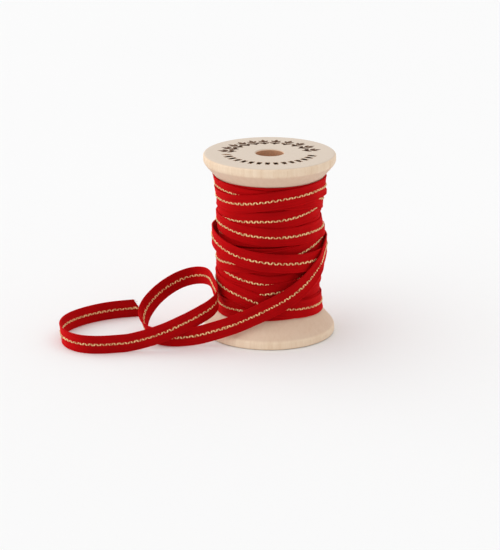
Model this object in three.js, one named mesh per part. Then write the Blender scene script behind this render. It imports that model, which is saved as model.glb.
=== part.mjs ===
// Wooden ribbon spool with a narrow woven ribbon wound on it, its free end lying in loops beside it.
// Millimetres, +Z up along the spool's axis, origin at the middle of the face that it stands on.
// The front is -Y. Angles round the spool are in degrees from the front, positive towards +X.
import * as THREE from 'three';
import { mergeVertices } from 'three/addons/utils/BufferGeometryUtils.js';

// Spool
const spoolHeight = 61.7;
const flangeRadius = 22;
const boreRadius = 4.6;
const barrelRadius = 13.5;
const faceRounding = 0.9;         // radius between the end face and the rim
const rimTop = 1.9;               // height of the rim's straight band
const coneStart = { radius: 21.2, height: 3.66 };   // where the rounded rim runs into the cone
const coneRise = 1.17;            // height gained per millimetre inwards on the cone
const boreChamfer = 0.4;

// Ribbon
const ribbonWidth = 6.3;
const ribbonThickness = 0.5;
const layerPitch = 0.55;          // one wound layer and the air above it
const innerLayers = 5;
const firstLayerRadius = 13.75;
const edgeClearance = 0.2;        // between a ribbon edge and the cone
const yarnWidth = 0.9;
const yarnThickness = 0.1;
const yarnGap = 0.08;             // between the ribbon's face and the yarn on it

// Strip of tape that holds the ribbon's inner end on the barrel
const tapeRadius = 13.6;
const tapeThickness = 0.1;
const tapeSteps = 3;

// Outer turns, in winding order. Each starts at the right of the spool at height `right`, crosses the
// front to `left`, and goes round the back to `next`, the height at which the following turn starts.
const turnRadius = { low: 16.85, middle: 17.55, high: 18.25 };
const outerTurns = [
  { radius: turnRadius.high, right: 11.3, left: 11.3, next: 11.5 },
  { radius: turnRadius.middle, right: 12.0, left: 18.6, next: 21.0 },
  { radius: turnRadius.low, right: 22.0, left: 18.6, next: 28.0 },
  { radius: turnRadius.high, right: 28.2, left: 24.9, next: 27.0 },
  { radius: turnRadius.low, right: 46.1, left: 49.0, next: 48.9 },
  { radius: turnRadius.high, right: 50.6, left: 47.7, next: 45.6 },
  { radius: turnRadius.middle, right: 45.6, left: 42.0, next: 37.4 },
  { radius: turnRadius.high, right: 37.4, left: 39.4, next: 33.8 },
  { radius: turnRadius.middle, right: 33.8, left: 26.6, next: 27.6 },
];

// Last turn: the one that carries the free end, clear of every turn below it
const lastTurnRadius = 19.05;
const lastTurn = { radius: lastTurnRadius, right: 28.1, left: 33.9, next: 30.5 };

// Angles at which the turns start and end
const turnStart = 90;
const lastTurnStart = 58;         // under the free end where that crosses the front
const turnEnd = -269;

// Free end, from where it leaves the last turn at the right: down across the front, over the lower
// flange, on edge along the ground, round a raised loop that leans on the winding, round a second
// loop on the ground, to the cut end.
const freeEndRoute = [
  [19.05, -0.4, 30.5], [18.6, -4.3, 29.8], [17.95, -7.3, 28.6], [17.1, -10.5, 26.8],
  [15.1, -13.2, 24.3], [12.5, -15.7, 21.7], [9.5, -17.6, 19.3], [6.3, -19, 17.3],
  [2.8, -19.8, 15.3], [-0.8, -20.1, 13.5], [-4.3, -20.1, 11.7], [-7.9, -20.1, 10],
  [-11.5, -20, 8.4], [-15.2, -19.7, 7], [-19.1, -19.2, 5.6], [-23.1, -18.7, 4.3],
  [-27, -18.3, 3.5], [-30.9, -18.3, 3.2], [-34.6, -17.9, 3.2], [-37.8, -16.4, 3.3],
  [-40.3, -13.6, 3.6], [-41.7, -10, 4.5], [-42.2, -6.4, 6], [-41.6, -3, 7.7],
  [-40, 0.2, 9.5], [-37.6, 3.5, 11.3], [-34.6, 6.3, 13], [-31.1, 8.2, 14.6],
  [-27.6, 8.8, 15.8], [-24.5, 7.8, 16.7], [-22, 5.2, 17.4], [-20.3, 1.8, 17.8],
  [-19.3, -2, 17.8], [-18.5, -5.7, 17.2], [-17.5, -9, 16], [-17.4, -12.2, 14.2],
  [-19.3, -14.9, 12.5], [-22.4, -16.9, 11], [-25.9, -18.6, 9.5], [-29.7, -20.1, 8],
  [-33.8, -21.3, 6.4], [-38, -22, 5], [-42.2, -22.6, 3.9], [-46.3, -23.4, 3.2],
  [-50.6, -24.7, 3.2], [-55, -25.5, 3.2], [-59.3, -25.3, 3.2], [-63.1, -23.8, 3.2],
  [-66.3, -20.8, 3.2], [-68.5, -16.7, 3.2], [-69.4, -12, 3.2], [-69.2, -7.1, 3.2],
  [-67.8, -2.6, 3.2], [-65.4, 1.3, 3.2], [-62.1, 4.9, 3.2], [-58.1, 8.1, 3.2],
  [-53.8, 10.5, 3.2], [-49.3, 12.1, 3.2], [-44.7, 13.4, 3.2],
];
const endCutSlant = 2.0;          // how far the slanted cut runs along the ribbon, each side of its middle

// Fineness
const stepsRound = 48;
const freeEndSteps = 80;
const freeEndStepsAcross = 2;     // the middle edge keeps a twisting ribbon true under its yarn

const up = new THREE.Vector3(0, 0, 1);

const materials = {
  wood: { color: 0xd8c4a8, roughness: 0.65, metalness: 0 },
  ribbon: { color: 0xb80c12, roughness: 0.8, metalness: 0 },
  yarn: { color: 0xe2c489, roughness: 0.35, metalness: 0.8 },
  tape: { color: 0xe8e0cc, roughness: 0.5, metalness: 0 },
};

function namedMesh(name, geometry, finish) {
  const mesh = new THREE.Mesh(geometry, new THREE.MeshStandardMaterial(materials[finish]));
  mesh.name = name;
  return mesh;
}

function coneHeight(radius) {
  return coneStart.height + (coneStart.radius - radius) * coneRise;
}

// One flange's outline in (radius, height above its end face), from the bore to the barrel.
function flangeOutline() {
  const outline = new THREE.Path();
  outline.moveTo(boreRadius, boreChamfer);
  outline.lineTo(boreRadius + boreChamfer, 0);
  outline.lineTo(flangeRadius - faceRounding, 0);
  outline.absarc(flangeRadius - faceRounding, faceRounding, faceRounding, -Math.PI / 2, 0);
  outline.lineTo(flangeRadius, rimTop);
  outline.quadraticCurveTo(flangeRadius, coneHeight(flangeRadius), coneStart.radius, coneStart.height);
  outline.lineTo(barrelRadius, coneHeight(barrelRadius));
  return outline.getPoints(3);
}

function spool() {
  const lower = flangeOutline();
  const upper = lower.map((point) => new THREE.Vector2(point.x, spoolHeight - point.y)).reverse();
  const profile = [...lower, ...upper, lower[0].clone()];
  const geometry = new THREE.LatheGeometry(profile, stepsRound);
  geometry.rotateX(Math.PI / 2);
  return namedMesh('spool', geometry, 'wood');
}

// A box whose length is laid along a route. placeAt(share) gives the route's point, the way that the
// ribbon's outer face looks and the way across its width, for share from 0 at the start to 1. The
// band's middle lies `lift` outside the route.
function bandAlong(placeAt, steps, stepsAcross, width, thickness, lift = 0) {
  const band = new THREE.BoxGeometry(1, thickness, width, steps, 1, stepsAcross);
  band.deleteAttribute('normal');
  band.deleteAttribute('uv');
  const corners = band.attributes.position;
  for (let i = 0; i < corners.count; i += 1) {
    const { centre, outward, across } = placeAt(corners.getX(i) + 0.5);
    const corner = centre.clone();
    corner.addScaledVector(outward, lift + corners.getY(i));
    corner.addScaledVector(across, corners.getZ(i));
    corners.setXYZ(i, corner.x, corner.y, corner.z);
  }
  const closed = mergeVertices(band);
  closed.computeVertexNormals();
  return closed;
}

// Place on the winding at an angle in degrees from the front.
function placeOnWinding(radius, angle, height) {
  const turned = THREE.MathUtils.degToRad(angle);
  const outward = new THREE.Vector3(Math.sin(turned), -Math.cos(turned), 0);
  const centre = outward.clone().multiplyScalar(radius).setZ(height);
  return { centre, outward, across: up };
}

// A turn's height at an angle that falls from 90 at its start to -270 at its end.
function turnHeight({ right, left, next }, angle) {
  const frontShare = THREE.MathUtils.smoothstep(90 - angle, 0, 180);
  const backShare = THREE.MathUtils.smoothstep(-90 - angle, 0, 180);
  return right + (left - right) * frontShare + (next - left) * backShare;
}

// The ribbon of one turn and the yarn along its middle.
function turnPieces(turn, name, startAngle) {
  const steps = Math.round((startAngle - turnEnd) * stepsRound / 360);
  const placeAt = (share) => {
    const angle = startAngle + (turnEnd - startAngle) * share;
    return placeOnWinding(turn.radius, angle, turnHeight(turn, angle));
  };
  return ribbonAndYarn(placeAt, steps, 1, name);
}

function ribbonAndYarn(placeAt, steps, stepsAcross, name) {
  const ribbon = bandAlong(placeAt, steps, stepsAcross, ribbonWidth, ribbonThickness);
  const yarnLift = (ribbonThickness + yarnThickness) / 2 + yarnGap;
  const yarn = bandAlong(placeAt, steps, stepsAcross, yarnWidth, yarnThickness, yarnLift);
  return [namedMesh(name, ribbon, 'ribbon'), namedMesh(`${name}_gold_yarn`, yarn, 'yarn')];
}

// The layers under the visible turns, each a sleeve between the two cones.
function innerLayer(number) {
  const inner = firstLayerRadius + (number - 1) * layerPitch;
  const outer = inner + ribbonThickness;
  const low = coneHeight(inner) + edgeClearance;
  const high = spoolHeight - low;
  const section = [[inner, low], [outer, low], [outer, high], [inner, high], [inner, low]];
  const profile = section.map(([radius, height]) => new THREE.Vector2(radius, height));
  const geometry = new THREE.LatheGeometry(profile, stepsRound);
  geometry.rotateX(Math.PI / 2);
  return namedMesh(`ribbon_layer_${number}`, geometry, 'ribbon');
}

function startTape() {
  const stepAngle = 360 / stepsRound;
  const placeAt = (share) => placeOnWinding(tapeRadius, share * -tapeSteps * stepAngle, spoolHeight / 2);
  const geometry = bandAlong(placeAt, tapeSteps, 1, ribbonWidth, tapeThickness);
  return namedMesh('start_tape', geometry, 'tape');
}

// The free end stands on edge: its width is as upright as its direction allows.
function freeEnd() {
  const route = new THREE.CatmullRomCurve3(freeEndRoute.map((point) => new THREE.Vector3(...point)));
  const placeAt = (share) => {
    const along = route.getTangentAt(share);
    const outward = new THREE.Vector3().crossVectors(up, along).normalize();
    const across = new THREE.Vector3().crossVectors(along, outward);
    if (share === 1) {
      across.addScaledVector(along, -2 * endCutSlant / ribbonWidth);
    }
    return { centre: route.getPointAt(share), outward, across };
  };
  return ribbonAndYarn(placeAt, freeEndSteps, freeEndStepsAcross, 'free_end');
}

const ribbonSpool = new THREE.Group();
ribbonSpool.add(spool(), startTape());
for (let number = 1; number <= innerLayers; number += 1) {
  ribbonSpool.add(innerLayer(number));
}
outerTurns.forEach((turn, index) => {
  const number = index + 1;
  ribbonSpool.add(...turnPieces(turn, `outer_turn_${number}`, turnStart));
});
ribbonSpool.add(...turnPieces(lastTurn, 'last_turn', lastTurnStart));
ribbonSpool.add(...freeEnd());

export default ribbonSpool;
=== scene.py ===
"""Wooden ribbon spool with a narrow woven ribbon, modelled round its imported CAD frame."""
import math

import bpy
import numpy as np
from mathutils import Matrix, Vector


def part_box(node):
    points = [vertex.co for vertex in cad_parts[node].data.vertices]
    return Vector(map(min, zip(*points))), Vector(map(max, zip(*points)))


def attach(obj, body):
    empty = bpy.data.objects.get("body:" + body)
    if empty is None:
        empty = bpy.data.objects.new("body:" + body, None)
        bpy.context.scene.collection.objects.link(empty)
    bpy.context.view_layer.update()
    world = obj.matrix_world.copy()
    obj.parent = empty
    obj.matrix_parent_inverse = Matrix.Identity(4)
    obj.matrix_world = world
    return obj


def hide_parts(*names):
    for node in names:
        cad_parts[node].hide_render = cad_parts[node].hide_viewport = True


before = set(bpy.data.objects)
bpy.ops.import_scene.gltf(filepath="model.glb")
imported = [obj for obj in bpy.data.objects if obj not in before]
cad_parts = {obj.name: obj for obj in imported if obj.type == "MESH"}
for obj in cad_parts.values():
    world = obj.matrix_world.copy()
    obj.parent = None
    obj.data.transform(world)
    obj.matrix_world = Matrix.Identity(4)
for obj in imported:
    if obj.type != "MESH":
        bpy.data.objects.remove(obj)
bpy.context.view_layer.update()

bl_info = {
    "name": "Ribbon Spool",
    "version": (1, 0, 0),
    "blender": (4, 5, 0),
    "location": "View3D > Sidebar > Ribbon Spool",
    "description": "Builds a turned wooden spool with a narrow gold-stitched ribbon wound on it",
    "category": "Add Mesh",
}

MM = 0.001
spool_low, spool_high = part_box("spool")
last_turn_low, last_turn_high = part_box("last_turn")

# Spool, in millimetres
SPOOL_HEIGHT = spool_high.z / MM
FLANGE_RADIUS = spool_high.x / MM
CONE_START_RADIUS = 21.2          # where the rounded rim runs into the cone
CONE_START_HEIGHT = 3.66
CONE_RISE = 1.17                  # height gained per millimetre inwards
RIM_TOP = 1.9
BORE_RADIUS = 4.6
SPOOL_SIDES = 128

# Ribbon, in millimetres
RIBBON_WIDTH = 6.3
HALF_WIDTH = RIBBON_WIDTH / 2
THICKNESS = 0.38                  # less than the frame's, which leaves the last turn room
CAD_THICKNESS = 0.5
UNDER_RADIUS = 16.55              # what the first modelled winding lies on
LAST_TURN_RADIUS = last_turn_high.y / MM - CAD_THICKNESS / 2
EDGE_ANGLE = 1.2                  # how far past the right the last turn meets the free end, in degrees

# The winding is worked out on columns round the spool and steps up it
COLUMNS = 240
COLUMN_ANGLE = 360 / COLUMNS
TURN_START = 90                   # degrees from the front, positive to the right
MIDDLE_RADIUS = 18                # turns angles into lengths along the ribbon
PACK_HEIGHTS = np.arange(4, 58, 0.1)
LAYING_OFFSETS = np.linspace(-HALF_WIDTH, HALF_WIDTH, 43)
STITCH_ZONE = 0.45                # half the width that the gold stitch raises
STITCH_LIFT = 0.1
STIFFNESS = 0.72                  # 1 bridges every hollow, 0 follows all of them
SWEEPS = 3
EASE_ROWS = 6                     # how far a ribbon climbs before what it crosses
COURSE_EASE_ROWS = 5

# Course of the stitched middle line of each turn: (degrees from the front, height in millimetres)
COURSES = {
    1: [(90, 11.3), (45, 12.1), (0, 11.9), (-33, 11.4), (-60, 11.1), (-90, 11.3), (-180, 11.8)],
    2: [(90, 11.1), (75, 11.2), (50, 11.6), (30, 12.1), (16, 12.7), (0, 13.8), (-12, 14.9),
        (-17, 15.4), (-34, 16.9), (-53, 17.8), (-90, 19.1), (-180, 20.4)],
    3: [(90, 21.7), (72, 21.2), (54, 20.2), (30, 19.4), (5, 18.5), (-5, 17.9), (-12, 17.6),
        (-40, 17.7), (-90, 18.7), (-180, 22.6)],
    4: [(90, 28.1), (60, 25.6), (35, 22.2), (8, 21.0), (-12, 21.3), (-38, 22.5), (-57, 23.5),
        (-90, 25.6), (-180, 27.2), (-270, 28.0)],
    5: [(90, 46.2), (77, 46.7), (64, 48.8), (30, 49.5), (0, 50.2), (-42, 51.2), (-53, 51.6),
        (-69, 51.8), (-90, 51.7), (-180, 51.4)],
    6: [(90, 51.1), (80, 51.1), (57, 51.6), (37, 51.1), (12, 50.5), (-10, 49.3), (-34, 48.1),
        (-48, 47.8), (-67, 47.6), (-90, 47.6), (-180, 46.7)],
    7: [(90, 46.3), (55, 44.8), (28, 43.6), (13, 43.0), (-2, 42.8), (-17, 42.6), (-29, 42.1),
        (-42, 42.0), (-90, 41.5), (-180, 39.6)],
    8: [(90, 37.4), (75, 37.2), (48, 37.5), (29, 37.3), (5, 37.3), (-17, 37.7), (-31, 37.9),
        (-44, 38.4), (-56, 39.1), (-70, 39.2), (-90, 39.5), (-180, 36.6)],
    9: [(90, 33.8), (70, 33.2), (53, 32.3), (41, 31.2), (20, 30.1), (0, 29.4), (-32, 27.6),
        (-49, 27.1), (-69, 26.4), (-90, 26.4), (-180, 26.7), (-270, 27.2), (-302, 27.3)],
}
CHAINS = [(1, 2, 3, 4), (5, 6), (7, 8, 9)]       # turns that run on into each other
CLOSED_CHAIN = (5, 6)                            # its end meets its own start
LAYING_ORDER = (7, 5, 6, 1, 4, 3, 2, 9, 8)       # from the lowest to the topmost
UNDER_COURSE = [(90, 51.2), (60, 51.4), (-60, 51.5), (-120, 49.0), (-270, 46.0), (-2070, 11.3)]
LAST_COURSE = [(64, 28.2), (46, 28.2), (29, 28.4), (5, 29.1), (-17, 29.8), (-34, 30.7),
               (-51, 31.8), (-71, 33.4), (-90, 34.1), (-180, 32.8), (-270, 30.5)]

# Free end: its middle line in metres, as in the CAD
FREE_END_ROUTE = [
    (0.01905, -0.0004, 0.0305), (0.0186, -0.0043, 0.0298), (0.01795, -0.0073, 0.0286),
    (0.0171, -0.0105, 0.0268), (0.0151, -0.0132, 0.0243), (0.0125, -0.0157, 0.0217),
    (0.0095, -0.0176, 0.0193), (0.0063, -0.019, 0.0173), (0.0028, -0.0198, 0.0153),
    (-0.0008, -0.0201, 0.0135), (-0.0043, -0.0201, 0.0117), (-0.0079, -0.0201, 0.01),
    (-0.0115, -0.02, 0.0084), (-0.0152, -0.0197, 0.007), (-0.0191, -0.0192, 0.0056),
    (-0.0231, -0.0187, 0.0043), (-0.027, -0.0183, 0.0035), (-0.0309, -0.0183, 0.0032),
    (-0.0346, -0.0179, 0.0032), (-0.0378, -0.0164, 0.0033), (-0.0403, -0.0136, 0.0036),
    (-0.0417, -0.01, 0.0045), (-0.0422, -0.0064, 0.006), (-0.0416, -0.003, 0.0077),
    (-0.04, 0.0002, 0.0095), (-0.0376, 0.0035, 0.0113), (-0.0346, 0.0063, 0.013),
    (-0.0311, 0.0082, 0.0146), (-0.0276, 0.0088, 0.0158), (-0.0245, 0.0078, 0.0167),
    (-0.022, 0.0052, 0.0174), (-0.0203, 0.0018, 0.0178), (-0.0193, -0.002, 0.0178),
    (-0.0185, -0.0057, 0.0172), (-0.0175, -0.009, 0.016), (-0.0174, -0.0122, 0.0142),
    (-0.0193, -0.0149, 0.0125), (-0.0224, -0.0169, 0.011), (-0.0259, -0.0186, 0.0095),
    (-0.0297, -0.0201, 0.008), (-0.0338, -0.0213, 0.0064), (-0.038, -0.022, 0.005),
    (-0.0422, -0.0226, 0.0039), (-0.0463, -0.0234, 0.0032), (-0.0506, -0.0247, 0.0032),
    (-0.055, -0.0255, 0.0032), (-0.0593, -0.0253, 0.0032), (-0.0631, -0.0238, 0.0032),
    (-0.0663, -0.0208, 0.0032), (-0.0685, -0.0167, 0.0032), (-0.0694, -0.012, 0.0032),
    (-0.0692, -0.0071, 0.0032), (-0.0678, -0.0026, 0.0032), (-0.0654, 0.0013, 0.0032),
    (-0.0621, 0.0049, 0.0032), (-0.0581, 0.0081, 0.0032), (-0.0538, 0.0105, 0.0032),
    (-0.0493, 0.0121, 0.0032), (-0.0447, 0.0134, 0.0032),
]
# How far the ribbon's upper edge leans out of upright: (point of the route, degrees)
FREE_END_LEANS = [(0, 0), (16, 0), (18, 6), (21, 30), (23, 30), (25, 14), (27, -2), (29, -10),
                  (31, -8), (34, 0), (46, 2), (50, 7), (54, 2), (58, 0)]
FREE_END_STEP = 0.6
END_CUT_SLANT = 2.0               # how far the cut runs along the ribbon, each side of its middle
END_CUT_REACH = 6.0

# Where the points of the ribbon's section lie across it, as shares of half its width
SECTION = np.array([-1, -0.985, -0.94, -0.88, -0.81, -0.6, -0.38, -0.16, 0,
                    0.16, 0.38, 0.6, 0.81, 0.88, 0.94, 0.985, 1])
SELVEDGE_START = 0.84             # share of half the width where the thicker edge begins
SELVEDGE_RISE = 0.07
SEED = 7

# Burnt pattern on the upper end face, in millimetres and degrees
LEAF_SIZE = (2.8, 1.3)            # length and width
LEAF_RADIUS = 11.9                # where the sprigs start
SPRIG_RUNS = [(172, 98, 6), (82, 14, 5)]         # first angle, last angle, number of sprigs
SPRIG_LEAVES = [(0.0, 44), (0.0, -44), (1.9, 36), (1.9, -36), (2.8, 0), (-0.9, 0)]   # step out, turn
BEAD_SIZE = (3.5, 1.55)
BEAD_RADIUS = 12.9
BEAD_RUN = (-166, -14, 29)
BEAD_SLANT = 22
MARK_HEIGHT = 0.06
MARK_SINK = 0.04                  # how deep the marks sit in the face

# Zigzag of the gold yarn
STITCH_STEPS = 8                  # points on each zigzag
STITCH_END_GAP = 0.05
YARN_DIP = 2.2                    # how far it dips into the cloth at its turns, in yarn radii
YARN_RISE = 2.6
YARN_PROUD = 0.15                 # how far its middle may stand off the cloth

# Loose threads at the cut end
THREADS = 16
THREAD_POINTS = 6
THREAD_SIDES = 4
THREAD_RADIUS = 0.055

# Colours that aren't a user's to change
# Painted shade, partly the coarser grain there: the cone under each rim is coloured darker and pinker
CONE_SHADE_AND_GRAIN = (0.66, 0.46, 0.34, 1)
END_GRAIN = (0.66, 0.585, 0.50, 1)
# Painted shade: the wall of the bore is coloured darker and browner
BORE_PAINTED_SHADE = (0.50, 0.19, 0.06, 1)
# Painted shade: the dark brown between the gold yarn's beads
GOLD_PAINTED_SHADE = (0.38, 0.12, 0.03, 1)
PAINTED_SHEEN_GAIN = (1.9, 1.3, 1.3, 1)    # painted sheen: how much brighter the cloth's colour is made where it turns away
SHEEN_TINT = (1.0, 0.10, 0.12, 1)
PAPER = (0.80, 0.74, 0.60, 1)
PAPER_DARK = (0.68, 0.60, 0.45, 1)

# Stage
ROOM_BRIGHTNESS = 0.70
LIGHT_SPREAD = 110                # degrees across each sun, for soft shadows
LIGHTS = [("window", 1.5, (54, 0, -95)), ("back_window", 0.35, (48, 0, 128))]
CAMERA_LENS = 148.65
CAMERA_PLACE = (0, -0.72802, 0.24824)
CAMERA_TURN = (72.541, 0, 0.51)


# ------------------------------------------------------------------ sizes and colours a user may change

class SpoolSizes(bpy.types.PropertyGroup):
    bore_radius: bpy.props.FloatProperty(
        name="Bore Radius", description="Radius of the hole for the peg",
        default=BORE_RADIUS * MM, min=1 * MM, max=10 * MM, unit="LENGTH")
    barrel_radius: bpy.props.FloatProperty(
        name="Barrel Radius", description="Radius of the barrel under the ribbon",
        default=13.5 * MM, min=8 * MM, max=16 * MM, unit="LENGTH")
    face_rounding: bpy.props.FloatProperty(
        name="Face Rounding", description="Radius between an end face and the rim",
        default=0.9 * MM, min=0.3 * MM, max=1.8 * MM, unit="LENGTH")
    bore_chamfer: bpy.props.FloatProperty(
        name="Bore Chamfer", description="Bevel at both mouths of the bore",
        default=0.4 * MM, min=0.1 * MM, max=1 * MM, unit="LENGTH")


class StitchSizes(bpy.types.PropertyGroup):
    pitch: bpy.props.FloatProperty(
        name="Stitch Pitch", description="Length of one zigzag of the gold yarn",
        default=1.9 * MM, min=0.5 * MM, max=4 * MM, unit="LENGTH")
    swing: bpy.props.FloatProperty(
        name="Stitch Swing", description="How far the zigzag goes to each side of the middle",
        default=0.38 * MM, min=0.1 * MM, max=1 * MM, unit="LENGTH")
    yarn_radius: bpy.props.FloatProperty(
        name="Yarn Radius", description="Radius of the gold yarn",
        default=0.25 * MM, min=0.05 * MM, max=0.5 * MM, unit="LENGTH")


class FinishColours(bpy.types.PropertyGroup):
    wood: bpy.props.FloatVectorProperty(
        name="Wood", description="Colour of the pale turned wood", subtype="COLOR",
        size=4, min=0, max=1, default=(0.90, 0.72, 0.54, 1))
    wood_dark: bpy.props.FloatVectorProperty(
        name="Wood Grain", description="Colour of the darker grain", subtype="COLOR",
        size=4, min=0, max=1, default=(0.72, 0.50, 0.32, 1))
    burnt: bpy.props.FloatVectorProperty(
        name="Burnt Leaves", description="Colour of the deeper burnt pattern", subtype="COLOR",
        size=4, min=0, max=1, default=(0.075, 0.032, 0.018, 1))
    burnt_pale: bpy.props.FloatVectorProperty(
        name="Burnt Beads", description="Colour of the lighter burnt pattern", subtype="COLOR",
        size=4, min=0, max=1, default=(0.19, 0.085, 0.035, 1))
    ribbon: bpy.props.FloatVectorProperty(
        name="Ribbon", description="Colour of the ribbon", subtype="COLOR",
        size=4, min=0, max=1, default=(0.41, 0.0016, 0.003, 1))
    gold: bpy.props.FloatVectorProperty(
        name="Gold Yarn", description="Colour of the metallic yarn", subtype="COLOR",
        size=4, min=0, max=1, default=(1.0, 0.74, 0.36, 1))
    floor: bpy.props.FloatVectorProperty(
        name="Floor", description="Colour of the floor", subtype="COLOR",
        size=4, min=0, max=1, default=(0.91, 0.91, 0.91, 1))


# ------------------------------------------------------------------ node helpers

def add_node(tree, kind, **settings):
    made = tree.nodes.new("ShaderNode" + kind)
    for name, value in settings.items():
        setattr(made, name, value)
    return made


def feed(tree, socket, source):
    """Links an input to another node's output, or gives it a value."""
    if isinstance(source, bpy.types.NodeSocket):
        tree.links.new(source, socket)
    else:
        socket.default_value = source


def calculate(tree, operation, first, second=0.0):
    node = add_node(tree, "Math", operation=operation)
    feed(tree, node.inputs[0], first)
    feed(tree, node.inputs[1], second)
    return node.outputs[0]


def blend_colours(tree, share, first, second, mode="MIX"):
    node = add_node(tree, "Mix", data_type="RGBA", blend_type=mode)
    feed(tree, node.inputs["Factor"], share)
    feed(tree, node.inputs[6], first)
    feed(tree, node.inputs[7], second)
    return node.outputs[2]


def rescale(tree, value, low, high, new_low=0.0, new_high=1.0):
    node = add_node(tree, "MapRange")
    feed(tree, node.inputs["Value"], value)
    node.inputs["From Min"].default_value = low
    node.inputs["From Max"].default_value = high
    node.inputs["To Min"].default_value = new_low
    node.inputs["To Max"].default_value = new_high
    return node.outputs["Result"]


def cloud(tree, vector, scale, detail=3.0, roughness=0.55):
    node = add_node(tree, "TexNoise")
    feed(tree, node.inputs["Vector"], vector)
    node.inputs["Scale"].default_value = scale
    node.inputs["Detail"].default_value = detail
    node.inputs["Roughness"].default_value = roughness
    return node.outputs["Fac"]


def stretched(tree, vector, scale):
    node = add_node(tree, "Mapping")
    feed(tree, node.inputs["Vector"], vector)
    node.inputs["Scale"].default_value = scale
    return node.outputs["Vector"]


def start_group(name, inputs, outputs):
    """A shader node group with named sockets; inputs and outputs are (name, kind, default)."""
    group = bpy.data.node_groups.new(name, "ShaderNodeTree")
    for socket_name, kind, default in inputs:
        socket = group.interface.new_socket(socket_name, in_out="INPUT", socket_type=kind)
        if default is not None:
            socket.default_value = default
    for socket_name, kind in outputs:
        group.interface.new_socket(socket_name, in_out="OUTPUT", socket_type=kind)
    entry = group.nodes.new("NodeGroupInput")
    result = group.nodes.new("NodeGroupOutput")
    return group, entry.outputs, result.inputs


def use_group(tree, group, **values):
    node = tree.nodes.new("ShaderNodeGroup")
    node.node_tree = group
    for name, value in values.items():
        feed(tree, node.inputs[name.replace("_", " ")], value)
    return node.outputs


# ------------------------------------------------------------------ shared effects

def grain_group():
    """Grain that runs along Z: rings and pores on the end faces, streaks on the sides."""
    group, given, wanted = start_group(
        "wood_grain",
        [("Vector", "NodeSocketVector", None), ("Pale", "NodeSocketColor", (0.8, 0.6, 0.4, 1)),
         ("Dark", "NodeSocketColor", (0.5, 0.3, 0.2, 1)), ("Strength", "NodeSocketFloat", 1.0)],
        [("Color", "NodeSocketColor"), ("Height", "NodeSocketFloat"), ("Roughness", "NodeSocketFloat")])
    long_way = stretched(group, given["Vector"], (1, 1, 0.06))
    warp = cloud(group, stretched(group, given["Vector"], (1, 1, 0.25)), 55, 2)
    parts = add_node(group, "SeparateXYZ")
    feed(group, parts.inputs[0], given["Vector"])
    across_x = calculate(group, "ADD", parts.outputs["X"], 0.045)
    across_y = calculate(group, "ADD", parts.outputs["Y"], -0.03)
    square = calculate(group, "ADD", calculate(group, "MULTIPLY", across_x, across_x),
                       calculate(group, "MULTIPLY", across_y, across_y))
    distance = calculate(group, "ADD", calculate(group, "SQRT", square),
                         calculate(group, "MULTIPLY", warp, 0.006))
    rings = calculate(group, "FRACT", calculate(group, "MULTIPLY", distance, 430))
    ring_mask = rescale(group, calculate(group, "POWER", rings, 3.0), 0, 1)
    streaks = cloud(group, long_way, 900, 4, 0.65)
    pores = cloud(group, long_way, 3800, 2, 0.6)
    pore_mask = rescale(group, pores, 0.60, 0.74)
    patches = cloud(group, given["Vector"], 90, 3)
    share = calculate(group, "MULTIPLY", ring_mask, 0.16)
    share = calculate(group, "ADD", share, rescale(group, streaks, 0.35, 0.75, 0.0, 0.42))
    share = calculate(group, "ADD", share, rescale(group, patches, 0.35, 0.7, -0.08, 0.16))
    share = calculate(group, "ADD", share, calculate(group, "MULTIPLY", pore_mask, 0.28))
    share = calculate(group, "MULTIPLY", share, given["Strength"])
    feed(group, wanted["Color"], blend_colours(group, share, given["Pale"], given["Dark"]))
    height = calculate(group, "SUBTRACT", calculate(group, "MULTIPLY", streaks, 0.6), pore_mask)
    feed(group, wanted["Height"], height)
    feed(group, wanted["Roughness"], rescale(group, streaks, 0.3, 0.7, 0.55, 0.72))
    return group


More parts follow.
